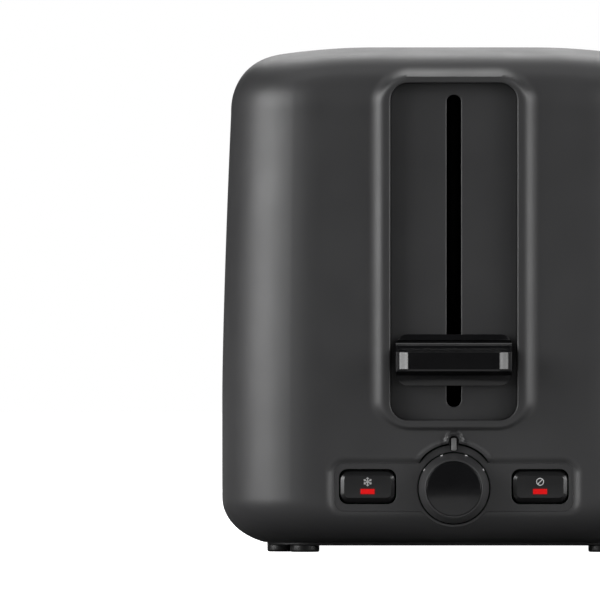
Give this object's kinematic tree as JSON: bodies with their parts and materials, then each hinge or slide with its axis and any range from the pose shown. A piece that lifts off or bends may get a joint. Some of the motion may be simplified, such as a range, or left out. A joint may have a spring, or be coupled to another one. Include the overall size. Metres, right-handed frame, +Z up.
{
  "type": "pop up toaster",
  "caption": "Upright toaster with two bread slots, a front lever in a raised recess, a browning dial, push buttons and a crumb tray that slides out at the back.",
  "frame": {"origin": "middle of the bounding box at the level of the surface the feet stand on", "axes": "+Z up; the lever and control face looks along -Y; the bread slots run along Y; +X is to the right when facing the controls"},
  "size_m": [0.1898, 0.318, 0.2066],
  "materials": {
    "satin_anthracite": "satin moulded plastic, fine grain",
    "gloss_black": "polished black",
    "matte_black": "fine matte moulding",
    "rubber_black": "soft rubber",
    "light_grey": "matte moulding",
    "red_lens": "clear tinted lens",
    "blackened_steel": "black oxide on sheet and rod",
    "bright_steel": "drawn and plated",
    "galvanised_steel": "zinc coated sheet",
    "mica": "pressed mica sheet",
    "nichrome": "oxidised resistance ribbon",
    "copper": "enamelled winding",
    "circuit_green": "solder mask"
  },
  "bodies": {
    "toaster": {"base_plate": "matte_black", "base_screw_front_left": "bright_steel", "base_screw_front_right": "bright_steel", "base_screw_rear_left": "bright_steel", "base_screw_rear_right": "bright_steel", "circuit_board": "circuit_green", "control_fascia": "satin_anthracite", "cord_gland": "matte_black", "defrost_switch": "matte_black", "foot_front_left_inner": "rubber_black", "foot_front_left_outer": "rubber_black", "foot_front_right_inner": "rubber_black", "foot_front_right_outer": "rubber_black", "foot_rear_left_inner": "rubber_black", "foot_rear_left_outer": "rubber_black", "foot_rear_right_inner": "rubber_black", "foot_rear_right_outer": "rubber_black", "front_frame": "blackened_steel", "guide_rod": "blackened_steel", "heater_board_left_inner": "mica", "heater_board_left_outer": "mica", "heater_board_right_inner": "mica", "heater_board_right_outer": "mica", "heating_element_left_inner": "nichrome", "heating_element_left_outer": "nichrome", "heating_element_right_inner": "nichrome", "heating_element_right_outer": "nichrome", "knob_index": "light_grey", "lever_track_plate": "satin_anthracite", "magnet_coil": "copper", "magnet_core": "galvanised_steel", "mains_contacts": "mica", "outer_housing": "satin_anthracite", "potentiometer": "galvanised_steel", "rear_frame": "blackened_steel", "reflector_left": "galvanised_steel", "reflector_right": "galvanised_steel", "slot_collar_left": "bright_steel", "slot_collar_right": "bright_steel", "stop_switch": "matte_black"},
    "carriage": {"lever_grip": "gloss_black", "lever_arm": "bright_steel", "carriage": "blackened_steel", "keeper_plate": "bright_steel", "rack_left": "bright_steel", "rack_right": "bright_steel", "lift_spring": "bright_steel"},
    "knob": {"browning_knob": "satin_anthracite", "knob_cap": "gloss_black", "potentiometer_shaft": "bright_steel"},
    "defrost_button": {"defrost_button": "matte_black", "defrost_light": "red_lens"},
    "stop_button": {"stop_button": "matte_black", "stop_light": "red_lens"},
    "tray": {"crumb_tray": "galvanised_steel", "crumb_tray_handle": "matte_black"},
    "guard_left_outer": {"bread_guard_left_outer": "bright_steel"},
    "guard_left_inner": {"bread_guard_left_inner": "bright_steel"},
    "guard_right_outer": {"bread_guard_right_outer": "bright_steel"},
    "guard_right_inner": {"bread_guard_right_inner": "bright_steel"}
  },
  "joints": [
    {"name": "carriage_slide", "type": "slide", "parent": "toaster", "child": "carriage", "axis": [0, 0, 1], "range_m": [0, 0.098], "stiffness_N_per_m": 40, "springref_m": 0.2, "deforming": ["lift_spring"]},
    {"name": "knob_turn", "type": "hinge", "parent": "toaster", "child": "knob", "pos_m": [0, -0.1355, 0.0263], "axis": [0, -1, 0], "range_deg": [-135, 135]},
    {"name": "defrost_press", "type": "slide", "parent": "toaster", "child": "defrost_button", "axis": [0, 1, 0], "range_m": [0, 0.0015], "stiffness_N_per_m": 300, "springref_m": -0.001},
    {"name": "stop_press", "type": "slide", "parent": "toaster", "child": "stop_button", "axis": [0, 1, 0], "range_m": [0, 0.0015], "stiffness_N_per_m": 300, "springref_m": -0.001},
    {"name": "tray_slide", "type": "slide", "parent": "toaster", "child": "tray", "axis": [0, 1, 0], "range_m": [0, 0.22]},
    {"name": "guard_left_outer_slide", "type": "slide", "parent": "toaster", "child": "guard_left_outer", "axis": [-1, 0, 0], "range_m": [0, 0.006]},
    {"name": "guard_left_inner_slide", "type": "slide", "parent": "toaster", "child": "guard_left_inner", "axis": [1, 0, 0], "range_m": [0, 0.006]},
    {"name": "guard_right_outer_slide", "type": "slide", "parent": "toaster", "child": "guard_right_outer", "axis": [1, 0, 0], "range_m": [0, 0.006]},
    {"name": "guard_right_inner_slide", "type": "slide", "parent": "toaster", "child": "guard_right_inner", "axis": [-1, 0, 0], "range_m": [0, 0.006]}
  ],
  "couplings": [
    {"joint": "guard_left_outer_slide", "follows": "carriage_slide", "ratio": 0.06},
    {"joint": "guard_left_inner_slide", "follows": "carriage_slide", "ratio": 0.06},
    {"joint": "guard_right_outer_slide", "follows": "carriage_slide", "ratio": 0.06},
    {"joint": "guard_right_inner_slide", "follows": "carriage_slide", "ratio": 0.06}
  ]
}
